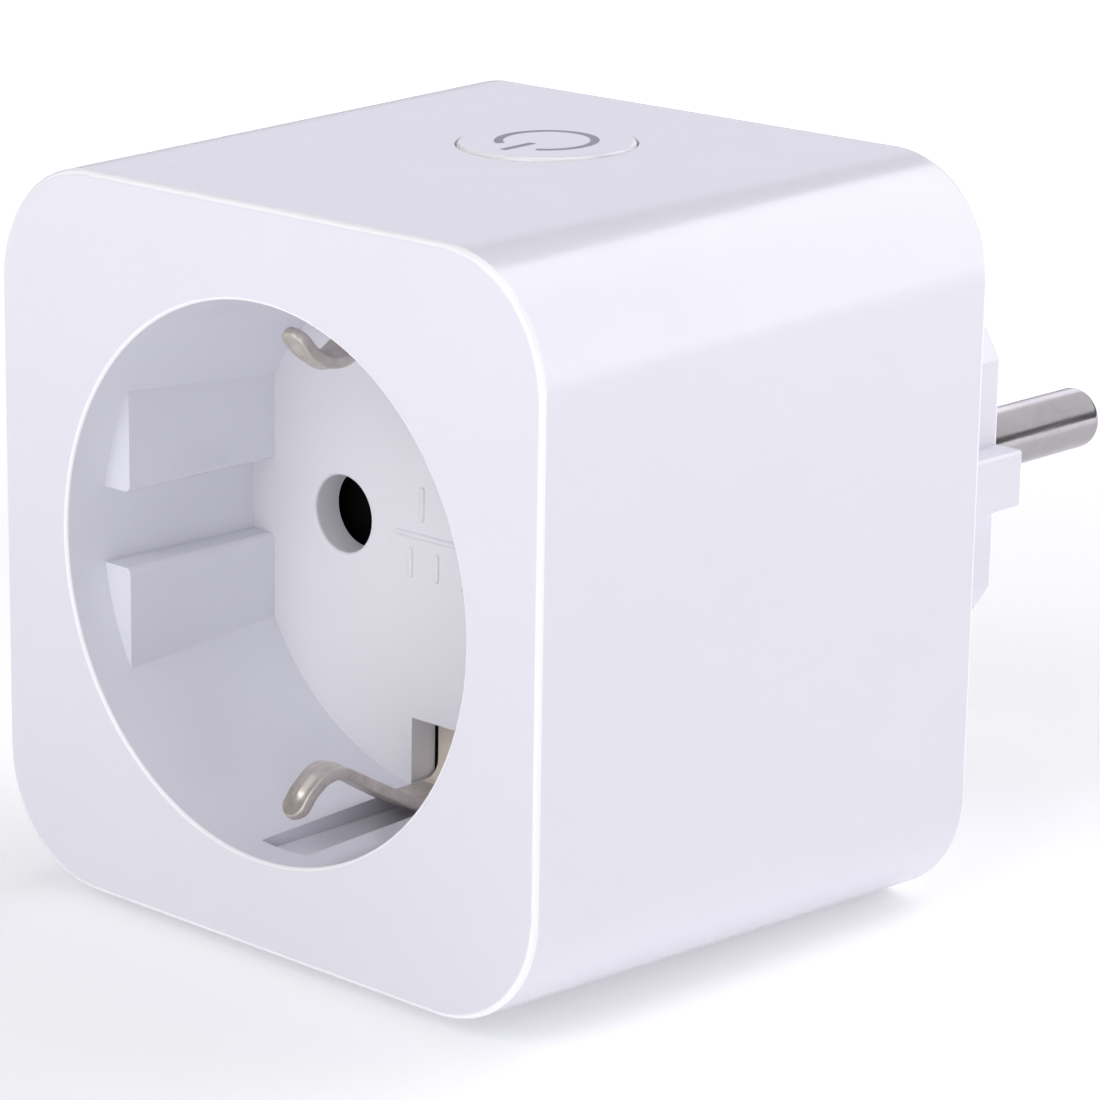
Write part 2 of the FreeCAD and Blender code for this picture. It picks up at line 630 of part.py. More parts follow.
def switch_and_control():
    top = "control_z"
    body = piece("control_board")
    mid_box(body, "board", 16, 22.5, 15, "control_z - control_thick", "control_thick")
    body = piece("tact_switch_body")
    mid_box(body, "switch_case", 3, "button_y - 3", 6, top, 3.2)
    rod(body, "plunger_well", (0, "button_y", "control_z + 2.0"), 1.85, 2, along="z", cut=True)
    body = piece("tact_switch_plunger")
    rod(body, "plunger", (0, "button_y", "control_z + 2.6"), 1.75,
        "button_low - control_z - 2.6", along="z")
    body = piece("status_led")
    box(body, "led", (3.6, "button_y - 0.8", top), (0.8, 1.6, 0.6))
    body = piece("radio_board")
    box(body, "radio_plate", (-15.6, 23, top), (11.6, 14, 0.8))
    body = piece("radio_shield")
    box(body, "shield_can", (-15.1, 23.5, "control_z + 0.8"), (10.6, 9.5, 2.0))
    can_top = size("control_z") + 2.8
    rim = lambda edge: all(abs(v.Point.z - can_top) < 0.01 for v in edge.Vertexes)
    round_edges(body, "shield_edges", 0.3, rim)
    body = piece("board_header")
    mid_box(body, "header_block", 6, 35.9, "main_y - 35.9", 15.8, 2.6)
    for number in range(5):
        box(body, "header_pin", (f"{-5.1 + 2.4 * number}", 35.2, 16.8), (0.6, 0.8, 0.6))


# ---------------------------------------------------------------- main board

def main_board():
    body = piece("main_board")
    mid_box(body, "board", "main_half", "main_y", "main_thick", "-main_half", "2 * main_half")
    for sx, sz in CORNERS:
        low_x = "main_half - 5.6" if sx > 0 else "-main_half - 0.4"
        low_z = "main_half - 5.6" if sz > 0 else "-main_half - 0.4"
        box(body, "boss_notch", (low_x, "main_y - 1", low_z), (6, "main_thick + 2", 6), cut=True)
    for side in SIDES:
        x = f"{side} * pin_offset"
        rod(body, "tail_hole", (x, "main_y - 1", 0), 1.35, "main_thick + 2", cut=True)
        low = "-pin_offset - 1.2" if side < 0 else "pin_offset - 1.2"
        box(body, "contact_slot", (low, "main_y - 1", 2.5), (2.4, "main_thick + 2", 1.0), cut=True)
    rod(body, "link_hole", (0, "main_y - 1", 14.2), 1.2, "main_thick + 2", cut=True)
    for label, side in (("live_strap", -1), ("neutral_strap", 1)):
        body = piece(label)
        back = "main_y + main_thick"
        low = "-pin_offset - 2.6" if side < 0 else "pin_offset - 2.6"
        box(body, "strap", (low, back, -10), (5.2, 0.6, 12.5))
        rod(body, "tail_way", (f"{side} * pin_offset", back, 0), 1.25, 1, cut=True)


def relay():
    """Relay on the lower half of the board: base, cover, coil, yoke and the hinged armature."""
    body = piece("relay_base")
    mid_box(body, "base_plate", 10.3, "main_y - 1.2", 1.2, -22.4, 14.8)
    body = piece("relay_case")
    mid_box(body, "case_outside", 10.5, 28.2, "main_y - 28.3", -22.6, 15.2)
    case_front = lambda edge: edge.BoundBox.YMin < 28.25
    round_edges(body, "case_edges", 0.6, case_front)
    mid_box(body, "case_inside", 9.8, 28.9, 12, -21.9, 13.8, cut=True)
    mid_box(body, "base_way", 10.4, "main_y - 1.3", 3, -22.5, 15.0, cut=True)
    body = piece("relay_coil")
    rod(body, "winding", (-5.4, 32.6, -15), 3.0, 9.0, along="x")
    for x in (-6.2, 3.4):
        rod(body, "flange", (x, 32.6, -15), 3.5, 0.8, along="x")
    body = piece("relay_yoke")
    mid_box(body, "yoke_plate", 3.2, 36.2, 1.0, -18.2, 6.4)
    box(body, "yoke_base", (-7.2, 36.2, -18.2), (12.8, 1.0, 6.4))
    box(body, "yoke_leg", (-7.2, 29.4, -18.2), (0.9, 7.8, 6.4))
    body = piece("relay_armature")
    box(body, "armature_plate", (5.0, 29.6, -18.0), (0.8, 6.3, 6.0))


def parts_on_board():
    face = "main_y"
    body = piece("filter_capacitor")
    box(body, "capacitor_box", (-22, 28.8, 10.6), (12.5, "main_y - 28.8", 6.2))
    round_edges(body, "capacitor_edges", 0.5, lambda edge: edge.BoundBox.YMin < 28.85)
    body = piece("transformer_core")
    box(body, "core_block", (9.6, 29.2, 6.8), (11.6, "main_y - 29.2", 10))
    box(body, "core_window", (11.4, 31.0, 5.8), (8.0, 5.6, 12), cut=True)
    body = piece("transformer_winding")
    box(body, "winding_block", (11.5, 31.1, 7.2), (7.8, 5.4, 9.2))
    round_edges(body, "winding_edges", 1.2, lambda edge: edge.BoundBox.ZLength > 9)
    for number, z in enumerate((5.8, -2.8), start=1):
        body = piece(f"bulk_capacitor_{number}")
        rod(body, "can", (-18.6, 29.2, z), 3.9, "main_y - 29.2")
        round_edges(body, "can_rim", 0.5, lambda edge: on_plane(edge, 29.2))
    body = piece("varistor")
    rod(body, "disc", (18.6, "main_y - 4.4", -6.0), 4.3, 3.4, along="z")
    round_edges(body, "disc_rim", 0.8, lambda edge: edge.Closed)
    body = piece("fuse_resistor")
    rod(body, "barrel", (14.8, "main_y - 1.9", 3.0), 1.7, 7.8, along="x")
    round_edges(body, "barrel_ends", 0.6, lambda edge: edge.Closed)
    body = piece("filter_inductor")
    rod(body, "inductor_drum", (-17.0, 31.4, -13.2), 2.6, "main_y - 31.4")
    for start in ("31.4", "main_y - 1"):
        rod(body, "inductor_flange", (-17.0, start, -13.2), 3.4, 1.0)
    body = piece("current_shunt")
    box(body, "shunt_block", (12.4, 35.0, -12.6), (8.6, "main_y - 35.0", 2.4))
    box(body, "shunt_arch", (13.6, 36.0, -13.6), (6.2, 4, 4.4), cut=True)
    body = piece("metering_chip")
    box(body, "chip", (12.0, "main_y - 1.5", -20), (5.4, 1.5, 4.6))
    rear = "main_y + main_thick"
    body = piece("bridge_rectifier")
    box(body, "rectifier", (-16, rear, 12), (5, 1.8, 4))
    body = piece("voltage_regulator")
    box(body, "regulator", (11, rear, 12), (5.6, 1.5, 3.6))


# ---------------------------------------------------------------- build and write

def fail_if_broken(items):
    broken = [item for item in items if "Invalid" in item.State or "Error" in item.State]
    if broken:
        names = [f"{item.Label} {item.getStatusString()}" for item in broken]
        raise RuntimeError("; ".join(names))


front_shell()
rear_cover()
housing_screws()
plug_pin("plug_pin_left", -1)
plug_pin("plug_pin_right", 1)
plug_earth()
socket_floor()
contact_carrier()
socket_contact("live_contact", -1)
socket_contact("neutral_contact", 1)
earth_strip()
shutter()
button()
switch_and_control()
main_board()
relay()
parts_on_board()
doc.recompute()
fail_if_broken(doc.Objects)

os.makedirs("parts", exist_ok=True)
for item in pieces:
    shape = item.Shape
    if shape.isNull() or not shape.isValid():
        raise RuntimeError(f"{item.Label}: the shape is not valid")
    shape.exportStep(os.path.join("parts", item.Label + ".step"))
    print(f"{item.Label}: {len(shape.Solids)} solid(s), {shape.Volume:.1f} mm3")
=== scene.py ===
import json
import math

import bmesh
import bpy
from mathutils import Matrix, Vector


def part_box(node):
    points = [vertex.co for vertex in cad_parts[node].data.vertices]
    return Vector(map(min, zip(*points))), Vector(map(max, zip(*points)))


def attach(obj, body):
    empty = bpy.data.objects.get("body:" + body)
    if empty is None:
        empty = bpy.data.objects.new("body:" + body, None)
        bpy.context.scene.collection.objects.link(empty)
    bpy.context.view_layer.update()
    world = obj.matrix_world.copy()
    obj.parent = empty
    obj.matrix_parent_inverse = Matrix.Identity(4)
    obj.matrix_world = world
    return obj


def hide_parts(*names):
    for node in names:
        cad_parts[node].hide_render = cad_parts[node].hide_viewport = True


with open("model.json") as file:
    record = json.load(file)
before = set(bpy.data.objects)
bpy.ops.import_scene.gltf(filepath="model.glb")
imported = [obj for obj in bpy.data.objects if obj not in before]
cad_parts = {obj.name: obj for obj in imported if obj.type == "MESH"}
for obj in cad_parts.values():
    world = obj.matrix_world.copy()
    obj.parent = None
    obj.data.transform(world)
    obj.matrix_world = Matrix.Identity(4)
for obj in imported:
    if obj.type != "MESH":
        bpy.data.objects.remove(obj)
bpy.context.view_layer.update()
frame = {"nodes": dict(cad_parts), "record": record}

MM = 0.001

# The socket axis runs along Y, through the middle of the shell and of the pins.
PIN_LOW, PIN_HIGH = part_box("plug_pin_left")
FRONT_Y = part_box("front_shell")[0].y
AXIS_Z = (PIN_LOW.z + PIN_HIGH.z) / 2


def at(x, y, z):
    """A place in the frame from millimetres: right of the axis, behind the front face, up."""
    return Vector((x * MM, FRONT_Y + y * MM, AXIS_Z + z * MM))


# ---------------------------------------------------------------- camera

CAMERA_AZIMUTH = 0.744
CAMERA_ELEVATION = 0.270
CAMERA_ROLL = 0.016
CAMERA_LENS = 140.7
CAMERA_AIM = at(8.42, 20.17, 0.38)
CAMERA_DISTANCE = 0.300


def make_camera():
    data = bpy.data.cameras.new("camera")
    data.lens = CAMERA_LENS
    data.sensor_width = 36
    camera = bpy.data.objects.new("camera", data)
    bpy.context.scene.collection.objects.link(camera)
    back = Vector((
        math.sin(CAMERA_AZIMUTH) * math.cos(CAMERA_ELEVATION),
        -math.cos(CAMERA_AZIMUTH) * math.cos(CAMERA_ELEVATION),
        math.sin(CAMERA_ELEVATION),
    ))
    turn = back.to_track_quat("Z", "Y") @ Matrix.Rotation(CAMERA_ROLL, 3, "Z").to_quaternion()
    camera.matrix_world = Matrix.LocRotScale(CAMERA_AIM + back * CAMERA_DISTANCE, turn, None)
    data.clip_start = 0.01
    data.clip_end = 20
    bpy.context.scene.camera = camera


# ---------------------------------------------------------------- light and floor

MODEL_MIDDLE = Vector((0, -0.02, 0.027))
WORLD_STRENGTH = 0.16


def panel_place(start, end, distance, centre):
    """Length and place of a panel that runs from one direction to another about a centre."""
    start = Vector(start).normalized()
    end = Vector(end).normalized()
    away = (start + end).normalized()
    along = (end - start).normalized()
    turn = Matrix((along, away.cross(along), away)).transposed()
    length = 2 * distance * math.tan(start.angle(end) / 2)
    return length, Matrix.LocRotScale(centre + away * distance, turn, None)


def make_light(name, start, end, distance, width, power, colour=(1, 1, 1)):
    data = bpy.data.lights.new(name, "AREA")
    data.color = colour
    data.shape = "RECTANGLE"
    data.size_y = width
    data.energy = power
    lamp = bpy.data.objects.new(name, data)
    bpy.context.scene.collection.objects.link(lamp)
    data.size, lamp.matrix_world = panel_place(start, end, distance, MODEL_MIDDLE)
    return lamp


def aim_light(lamp, pieces, state):
    """Let one light reach only these pieces (INCLUDE), or all but them (EXCLUDE)."""
    reach = bpy.data.collections.new(lamp.name + "_reach")
    lamp.light_linking.receiver_collection = reach
    for piece in pieces:
        reach.objects.link(piece)
    for member in reach.collection_objects:
        member.light_linking.link_state = state


def make_world():
    world = bpy.data.worlds.new("studio")
    bpy.context.scene.world = world
    world.use_nodes = True
    tree = world.node_tree
    background = tree.nodes["Background"]
    background.inputs["Color"].default_value = (0.95, 0.95, 1.0, 1)
    # The backdrop itself looks white; only its light on the model is faint.
    seen = tree.nodes.new("ShaderNodeLightPath")
    strength = tree.nodes.new("ShaderNodeMapRange")
    strength.inputs["To Min"].default_value = WORLD_STRENGTH
    strength.inputs["To Max"].default_value = 1.0
    tree.links.new(seen.outputs["Is Camera Ray"], strength.inputs["Value"])
    tree.links.new(strength.outputs["Result"], background.inputs["Strength"])


def make_studio():
    bpy.context.scene.view_settings.view_transform = "Standard"
    make_world()
    make_light("front", (-0.25, -0.8, 0.68), (0.35, -0.8, 0.68), 0.9, 0.5, 2.45)
    make_light("front_low", (-0.35, -1.0, 0.16), (0.35, -1.0, 0.16), 0.9, 0.4, 0.95)
    make_light("edge", (0.62, -0.72, 0.12), (0.80, -0.55, 0.12), 0.8, 0.16, 0.75)
    make_light("back_left", (-0.90, 0.45, 0.30), (-0.35, 0.90, 0.30), 1.0, 0.45, 0.85,
               (0.90, 0.85, 1.0))
    make_light("top", (-0.3, 0.0, 1.0), (0.5, 0.0, 1.0), 1.0, 0.8, 2.8, (0.96, 0.93, 1.0))
    pins = [node for name, node in frame["nodes"].items() if name.startswith("plug_pin")]
    corner = make_light("corner", (0.80, 0.62, -0.15), (-0.1, 0.62, 0.78), 1.0, 0.55, 8.3)
    aim_light(corner, pins, "EXCLUDE")
    pin_wall = make_light("pin_wall", (0.9, 0.75, 0.62), (-0.9, 0.75, 0.62), 1.0, 0.85, 4.5)
    aim_light(pin_wall, pins, "INCLUDE")
    bpy.ops.mesh.primitive_plane_add(size=6, location=(0, 0, 0))
    floor = bpy.context.object
    floor.name = "floor"
    material, shader = new_material("floor")
    set_socket(shader, "Base Color", (0.93, 0.93, 0.94, 1))
    set_socket(shader, "Roughness", 0.7)
    set_socket(shader, "Emission Color", (1, 1, 1, 1))
    # The floor glows by its own emission, which is painted light: faint near the model and stronger
    # away from it, so the floor round the model is painted darker.
    tree = material.node_tree
    place = tree.nodes.new("ShaderNodeTexCoord")
    reach = tree.nodes.new("ShaderNodeVectorMath")
    reach.operation = "LENGTH"
    floor_painted_glow = tree.nodes.new("ShaderNodeMapRange")
    for name, number in (("From Min", 0.10), ("From Max", 0.45), ("To Min", 0.21), ("To Max", 0.80)):
        floor_painted_glow.inputs[name].default_value = number
    tree.links.new(place.outputs["Object"], reach.inputs[0])
    tree.links.new(reach.outputs["Value"], floor_painted_glow.inputs["Value"])
    tree.links.new(floor_painted_glow.outputs["Result"], shader.inputs["Emission Strength"])
    floor.data.materials.append(material)


# ---------------------------------------------------------------- materials

def new_material(name):
    material = bpy.data.materials.new(name)
    material.use_nodes = True
    return material, material.node_tree.nodes["Principled BSDF"]


def set_socket(shader, name, value):
    shader.inputs[name].default_value = value


class Surface:
    """Node work on one material: noise in object space for colour, roughness and relief."""

    def __init__(self, name, colour, roughness, metallic=0.0, **sockets):
        self.material, self.shader = new_material(name)
        self.tree = self.material.node_tree
        self.colour = colour
        set_socket(self.shader, "Base Color", (*colour, 1))
        set_socket(self.shader, "Roughness", roughness)
        set_socket(self.shader, "Metallic", metallic)
        for socket, value in sockets.items():
            set_socket(self.shader, socket.replace("_", " "), value)
        self.place = self.node("TexCoord").outputs["Object"]
        self.height = None

    def node(self, kind, **settings):
        item = self.tree.nodes.new("ShaderNode" + kind)
        for setting, value in settings.items():
            setattr(item, setting, value)
        return item

    def link(self, start, end):
        self.tree.links.new(start, end)

    def stretched(self, scale):
        mapping = self.node("Mapping")
        mapping.inputs["Scale"].default_value = scale
        self.link(self.place, mapping.inputs["Vector"])
        return mapping.outputs["Vector"]

    def noise(self, scale, detail=3.0, stretch=(1, 1, 1), rough=0.5):
        item = self.node("TexNoise")
        item.inputs["Scale"].default_value = scale
        item.inputs["Detail"].default_value = detail
        item.inputs["Roughness"].default_value = rough
        self.link(self.stretched(stretch), item.inputs["Vector"])
        return item.outputs["Fac"]

    def ramp(self, value, low, high, start=0.3, end=0.7):
        item = self.node("MapRange")
        for name, number in zip(("From Min", "From Max", "To Min", "To Max"), (start, end, low, high)):
            item.inputs[name].default_value = number
        self.link(value, item.inputs["Value"])
        return item.outputs["Result"]

    def vary_roughness(self, value, low, high):
        self.link(self.ramp(value, low, high), self.shader.inputs["Roughness"])

    def mixed(self, factor, first, second):
        """A colour between two others; the first may be the output of another node."""
        mix = self.node("Mix", data_type="RGBA")
        ends = [socket for socket in mix.inputs if socket.type == "RGBA"]
        if isinstance(first, tuple):
            ends[0].default_value = (*first, 1)
        else:
            self.link(first, ends[0])
        ends[1].default_value = (*second, 1)
        self.link(factor, mix.inputs["Factor"])
        return next(socket for socket in mix.outputs if socket.type == "RGBA")

    def vary_colour(self, value, other, start=0.3, end=0.7):
        result = self.mixed(self.ramp(value, 0, 1, start, end), self.colour, other)
        self.link(result, self.shader.inputs["Base Color"])

    def relief(self, value, distance, strength=1.0):
        """Stack one more bump on the earlier ones."""
        bump = self.node("Bump")
        bump.inputs["Strength"].default_value = strength
        bump.inputs["Distance"].default_value = distance
        self.link(value, bump.inputs["Height"])
        if self.height:
            self.link(self.height, bump.inputs["Normal"])
        self.height = bump.outputs["Normal"]
        self.link(self.height, self.shader.inputs["Normal"])


# Where the painted edge highlight goes: how far a skin leans forward or back, from 0 on a side to 1 on
# the front; the roundings between get a painted highlight.
HIGHLIGHT_RISE = (0.12, 0.3)
HIGHLIGHT_FALL = (0.93, 0.985)
PAINTED_HIGHLIGHT_COLOUR = (0.99, 0.985, 1.0)


def paint_edge_highlight(surface):
    """Painted highlight: paler colour on the roundings between the front or back and the sides, where
    light catches the edges.
    """
    split = surface.node("SeparateXYZ")
    surface.link(surface.node("TexCoord").outputs["Normal"], split.inputs["Vector"])
    lean = surface.node("Math", operation="ABSOLUTE")
    surface.link(split.outputs["Y"], lean.inputs[0])
    highlight_mask = surface.node("Math", operation="MULTIPLY")
    surface.link(surface.ramp(lean.outputs["Value"], 0, 1, *HIGHLIGHT_RISE), highlight_mask.inputs[0])
    surface.link(surface.ramp(lean.outputs["Value"], 1, 0, *HIGHLIGHT_FALL), highlight_mask.inputs[1])
    before = surface.shader.inputs["Base Color"].links[0].from_socket
    result = surface.mixed(highlight_mask.outputs["Value"], before, PAINTED_HIGHLIGHT_COLOUR)
    surface.link(result, surface.shader.inputs["Base Color"])


def moulded(name, colour, shade, roughness, peel=2e-6, grain=4e-7, **sockets):
    """Injection-moulded plastic: faint cloudiness, an orange-peel skin and fine grain; the housing also
    gets a painted edge highlight.
    """
    surface = Surface(name, colour, roughness, **sockets)
    surface.vary_colour(surface.noise(90, 4), shade)
    surface.vary_roughness(surface.noise(260, 3), roughness - 0.03, roughness + 0.03)
    surface.relief(surface.noise(700, 2), peel)
    surface.relief(surface.noise(7000, 2), grain)
    # Only the housing gets the painted edge highlight.
    if name == "white_housing":
        paint_edge_highlight(surface)
    return surface.material


def plated(name, colour, dark, roughness, along=(1, 0.06, 1), streak=2.5e-6, metallic=1.0):
    """Drawn or plated metal: streaks along its length, small pits and duller patches."""
    surface = Surface(name, colour, roughness, metallic=metallic)
    streaks = surface.noise(2600, 3, along)
    surface.vary_colour(surface.noise(420, 5, rough=0.65), dark)
    surface.vary_roughness(streaks, roughness - 0.06, roughness + 0.08)
    surface.relief(streaks, streak)
    surface.relief(surface.noise(5200, 2), streak / 2)
    return surface.material


def board_material():
    """Green solder mask over glass weave, with faint track shadows."""
    surface = Surface("circuit_board", (0.012, 0.12, 0.05), 0.3)
    weave = surface.node("TexWave", wave_type="BANDS", bands_direction="DIAGONAL")
    weave.inputs["Scale"].default_value = 900
    surface.link(surface.place, weave.inputs["Vector"])
    tracks = surface.node("TexBrick")
    tracks.inputs["Scale"].default_value = 180
    tracks.inputs["Mortar Size"].default_value = 0.04
    surface.link(surface.place, tracks.inputs["Vector"])
    surface.vary_colour(tracks.outputs["Fac"], (0.03, 0.20, 0.08), 0, 1)
    surface.relief(weave.outputs["Fac"], 4e-6)
    surface.relief(tracks.outputs["Fac"], 1.5e-5)
    return surface.material


def wound(name, colour, dark):
    """Fine enamelled wire, wound side by side."""
    surface = Surface(name, colour, 0.35, metallic=0.7)
    turns = surface.node("TexWave", wave_type="BANDS", bands_direction="X")
    turns.inputs["Scale"].default_value = 800
    surface.link(surface.place, turns.inputs["Vector"])
    surface.vary_colour(turns.outputs["Fac"], dark, 0, 1)
    surface.relief(turns.outputs["Fac"], 6e-5)
    return surface.material


def make_materials():
    made = [
        moulded("white_housing", (0.785, 0.78, 0.85), (0.775, 0.77, 0.84), 0.20),
        moulded("white_insert", (0.83, 0.825, 0.86), (0.81, 0.81, 0.845), 0.38, grain=2e-6),
        moulded("black_plastic", (0.002, 0.002, 0.002), (0.003, 0.003, 0.003), 0.60,
                Specular_IOR_Level=0.05),
        moulded("icon_grey", (0.20, 0.20, 0.24), (0.24, 0.24, 0.28), 0.35),
        moulded("dark_plunger", (0.05, 0.05, 0.052), (0.07, 0.07, 0.07), 0.4),
        moulded("led_lens", (0.75, 0.85, 0.75), (0.7, 0.8, 0.7), 0.12, Transmission_Weight=0.8),
        moulded("relay_blue", (0.02, 0.09, 0.40), (0.03, 0.11, 0.44), 0.22),
        moulded("capacitor_yellow", (0.70, 0.46, 0.04), (0.64, 0.42, 0.05), 0.4, grain=4e-6),
        moulded("winding_tape", (0.72, 0.52, 0.05), (0.66, 0.46, 0.05), 0.34),
        moulded("capacitor_sleeve", (0.02, 0.022, 0.06), (0.03, 0.03, 0.07), 0.22),
        moulded("varistor_blue", (0.02, 0.10, 0.42), (0.02, 0.12, 0.48), 0.22, peel=1.5e-5),
        moulded("resistor_body", (0.10, 0.28, 0.16), (0.12, 0.31, 0.18), 0.5, grain=6e-6),
        moulded("chip_black", (0.016, 0.016, 0.018), (0.022, 0.022, 0.024), 0.55, grain=5e-6),
        moulded("ferrite", (0.035, 0.035, 0.038), (0.06, 0.058, 0.055), 0.6, peel=1e-5, grain=8e-6),
        plated("nickel", (0.70, 0.65, 0.60), (0.46, 0.42, 0.38), 0.35, metallic=0.6),
        # A darker copy of the nickel for the plug pins: painted shade.
        plated("painted_shade_nickel_pin", (0.43, 0.41, 0.43), (0.37, 0.35, 0.37), 0.19, streak=4e-6),
        # A paler, less metallic copy of the nickel for the earth bridge: painted light on a part that
        # sits in shade.
        plated("painted_light_nickel", (0.95, 0.88, 0.80), (0.85, 0.77, 0.69), 0.36, metallic=0.2),
        plated("steel", (0.60, 0.60, 0.61), (0.46, 0.46, 0.47), 0.36),
        plated("brass", (0.72, 0.50, 0.22), (0.60, 0.40, 0.16), 0.35),
        plated("copper", (0.78, 0.42, 0.28), (0.66, 0.34, 0.22), 0.36),
        plated("tinned_shield", (0.66, 0.66, 0.66), (0.55, 0.55, 0.55), 0.37),
        wound("coil_copper", (0.60, 0.24, 0.10), (0.25, 0.08, 0.03)),
        board_material(),
    ]
    return {material.name: material for material in made}


# ---------------------------------------------------------------- mesh helpers

def make_piece(name, mesh, body, slot):
    piece = bpy.data.objects.new(name, mesh)
    bpy.context.scene.collection.objects.link(piece)
    mesh.polygons.foreach_set("use_smooth", [True] * len(mesh.polygons))
    mesh.materials.append(materials[slot])
    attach(piece, body)
    return piece


def skin(rings):
    """A closed mesh over rings of the same number of points."""
    shape = bmesh.new()
    made = [[shape.verts.new(point) for point in ring] for ring in rings]
    for ring, after in zip(made, made[1:]):
        for here in range(len(ring)):
            there = (here + 1) % len(ring)
            shape.faces.new((ring[here], ring[there], after[there], after[here]))
    shape.faces.new(list(reversed(made[0])))
    shape.faces.new(made[-1])
    bmesh.ops.recalc_face_normals(shape, faces=shape.faces)
    mesh = bpy.data.meshes.new("piece")
    shape.to_mesh(mesh)
    shape.free()
    return mesh


# ---------------------------------------------------------------- earth clips

STRIP_HALF = 2.12
STRIP_THICK = 0.84
CLIP_PATH = [(18.2, -19.0), (14.65, -19.0), (6.56, -14.23), (4.46, -15.76), (3.15, -17.33)]
CLIP_BENDS = [3.0, 2.4, 3.0]
CREST_HALF = 1.45
LEAF_HALF = 1.1
TIP_HALF = 0.24
TIP_THINNING = 0.35
PATH_STEP = 0.18
WIDTHS = [(2.0, LEAF_HALF), (4.6, LEAF_HALF), (8.2, CREST_HALF), (13.0, STRIP_HALF), (20, STRIP_HALF)]
STRIP_ROUND = 0.2
SECTION_POINTS = 13
# The bead is pressed up along the leaf; its start and end are measured from the tip.
BEAD_START = 0.9
BEAD_END = 6.2
BEAD_RISE = 0.9
BEAD_FALL = 1.6
BEAD_HEIGHT = 0.24
BEAD_WIDTH = 0.42


def rounded_path(corners, radii, step):
    """Points and directions along straight runs joined by arcs, about a step apart."""
    spots = [Vector(corner) for corner in corners]
    line = [spots[0]]
    for before, corner, after, radius in zip(spots, spots[1:], spots[2:], radii):
        back = (before - corner).normalized()
        ahead = (after - corner).normalized()
        half = back.angle(ahead) / 2
        reach = radius / math.tan(half)
        centre = corner + (back + ahead).normalized() * (radius / math.sin(half))
        enter = corner + back * reach - centre
        turn = enter.angle_signed(corner + ahead * reach - centre)
        count = max(3, round(abs(turn) * radius / step))
        for number in range(count + 1):
            line.append(centre + Matrix.Rotation(-turn * number / count, 2) @ enter)
    line.append(spots[-1])
    dense = [line[0]]
    for point in line[1:]:
        gap = point - dense[-1]
        parts = max(1, round(gap.length / step))
        start = dense[-1]
        dense += [start + gap * number / parts for number in range(1, parts + 1)]
    return dense


def clip_half_width(y):
    """Half width of the clip at a distance behind the front face."""
    for (low_y, low), (high_y, high) in zip(WIDTHS, WIDTHS[1:]):
        if y <= high_y:
            share = (y - low_y) / (high_y - low_y)
            share = share * share * (3 - 2 * share)
            return low + (high - low) * share
    return STRIP_HALF


def clip_section(half, thick, bead):
    """Points round the strip: rounded edges, and a bead pressed up along the middle."""
    inner = half - STRIP_ROUND
    top = []
    for number in range(SECTION_POINTS):
        x = (-1 + 2 * number / (SECTION_POINTS - 1)) * inner
        top.append((x, thick / 2 + bead * math.exp(-(x / BEAD_WIDTH) ** 2)))
    edge = []
    for angle in (60, 30, 0, -30, -60):
        a = math.radians(angle)
        level = math.copysign(thick / 2 - STRIP_ROUND, angle) * (angle != 0)
        edge.append((inner + STRIP_ROUND * math.cos(a), level + STRIP_ROUND * math.sin(a)))
    under = [(x, n - thick) for x, n in reversed(top)]
    return top + edge + under + [(-x, n) for x, n in reversed(edge)]


def clip_shape(y, to_tip):
    """Half width, thickness and bead of the strip, from its place and its distance to the tip."""
    half, thick, bead = clip_half_width(y), STRIP_THICK, 0.0
    if to_tip < LEAF_HALF:
        share = 1 - to_tip / LEAF_HALF
        half = max(TIP_HALF, LEAF_HALF * math.sqrt(max(0.0, 1 - share * share)))
        thick = STRIP_THICK * (1 - TIP_THINNING * share ** 3)
    if BEAD_START < to_tip < BEAD_END:
        window = min(1.0, (to_tip - BEAD_START) / BEAD_RISE, (BEAD_END - to_tip) / BEAD_FALL)
        bead = BEAD_HEIGHT * window * window * (3 - 2 * window)
    return half, thick, bead


def make_clip(name, body, node, side):
    line = rounded_path(CLIP_PATH, CLIP_BENDS, PATH_STEP)
    lengths = [0.0]
    for start, end in zip(line, line[1:]):
        lengths.append(lengths[-1] + (end - start).length)
    rings = []
    for here, middle in enumerate(line):
        start = line[max(here - 1, 0)]
        end = line[min(here + 1, len(line) - 1)]
        direction = (end - start).normalized()
        normal = Vector((direction.y, -direction.x))
        if normal.y < 0:
            normal = -normal
        half, thick, bead = clip_shape(middle.x, lengths[-1] - lengths[here])
        ring = []
        for x, n in clip_section(half, thick, bead):
            spot = middle + normal * n
            ring.append(at(x, spot.x, -side * spot.y))
        rings.append(ring)
    piece = make_piece(name, skin(rings), body, "nickel")
    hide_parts(node)


# ---------------------------------------------------------------- raised marks

FLOOR_Y = 17.5
BAR_LIFT = 0.16
BAR_SOFT = 0.10
BAR_SUNK = 0.05
BAR_WIDE = 0.5
LINE_WIDE = 0.42
UPPER_Z = 2.2
LOWER_Z = -2.2
# Each upright bar: how far right of the axis, its height above or below, and its length.
UPRIGHTS = [(-1.5, UPPER_Z, 2.6), (1.5, UPPER_Z, 2.6),
            (-2.6, LOWER_Z, 2.2), (0, LOWER_Z, 2.2), (2.6, LOWER_Z, 2.2)]


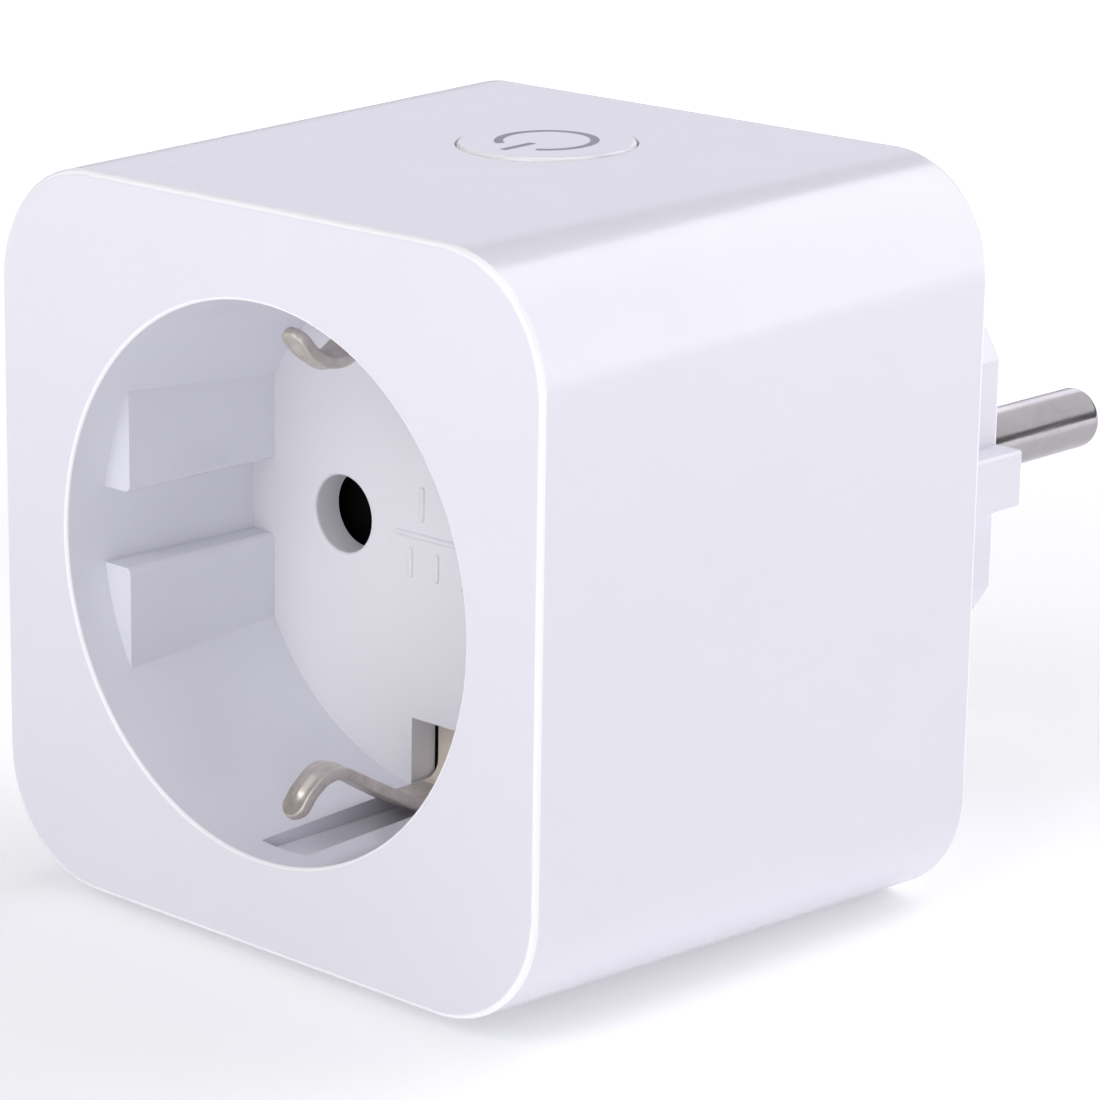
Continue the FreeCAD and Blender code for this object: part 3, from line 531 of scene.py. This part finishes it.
def raised_bar(shape, middle, length, width, turn=0.0):
    """A low bar with round ends and soft edges on the socket floor."""
    half_long, half_wide = length / 2, width / 2
    outline = []
    for end in (1, -1):
        for number in range(9):
            a = math.radians(-90 + 180 * number / 8)
            outline.append((end * (half_long - half_wide + half_wide * math.cos(a)),
                            end * half_wide * math.sin(a)))
    levels = [(0.0, -BAR_SUNK), (0.0, BAR_LIFT - BAR_SOFT),
              (BAR_SOFT * 0.35, BAR_LIFT - BAR_SOFT * 0.35), (BAR_SOFT, BAR_LIFT)]
    rings = []
    for inset, height in levels:
        ring = []
        for u, v in outline:
            u2 = math.copysign(max(abs(u) - inset, 0.0), u)
            v2 = math.copysign(max(abs(v) - inset, 0.0), v)
            x = middle[0] + u2 * math.cos(turn) - v2 * math.sin(turn)
            z = middle[1] + u2 * math.sin(turn) + v2 * math.cos(turn)
            ring.append(shape.verts.new(at(x, FLOOR_Y - height, z)))
        rings.append(ring)
    for ring, after in zip(rings, rings[1:]):
        for here in range(len(ring)):
            there = (here + 1) % len(ring)
            shape.faces.new((ring[here], ring[there], after[there], after[here]))
    shape.faces.new(rings[-1])
    shape.faces.new(list(reversed(rings[0])))


def make_marks():
    """Plain raised bars in place of a rating."""
    shape = bmesh.new()
    raised_bar(shape, (0, -0.15), 8.5, LINE_WIDE)
    for x, z, tall in UPRIGHTS:
        raised_bar(shape, (x, z), tall, BAR_WIDE, math.radians(90))
    bmesh.ops.recalc_face_normals(shape, faces=shape.faces)
    mesh = bpy.data.meshes.new("socket_floor_marks")
    shape.to_mesh(mesh)
    shape.free()
    make_piece("socket_floor_marks", mesh, "housing", "white_insert")


# ---------------------------------------------------------------- build

for material in list(bpy.data.materials):
    bpy.data.materials.remove(material)
make_camera()
materials = make_materials()
make_studio()
slots = {row["node"]: row["material_slot"] for row in frame["record"]["subparts"]}
# The pins and the earth bridge take the painted-shade and painted-light copies of the nickel.
PAINTED_NICKEL_COPIES = {"plug_pin_left": "painted_shade_nickel_pin", "plug_pin_right": "painted_shade_nickel_pin", "earth_bridge": "painted_light_nickel"}
for name, node in frame["nodes"].items():
    node.data.materials.clear()
    node.data.materials.append(materials[PAINTED_NICKEL_COPIES.get(name, slots[name])])

make_clip("earth_clip_strip_bottom", "clip_bottom", "earth_clip_bottom", -1)
make_clip("earth_clip_strip_top", "clip_top", "earth_clip_top", 1)
make_marks()
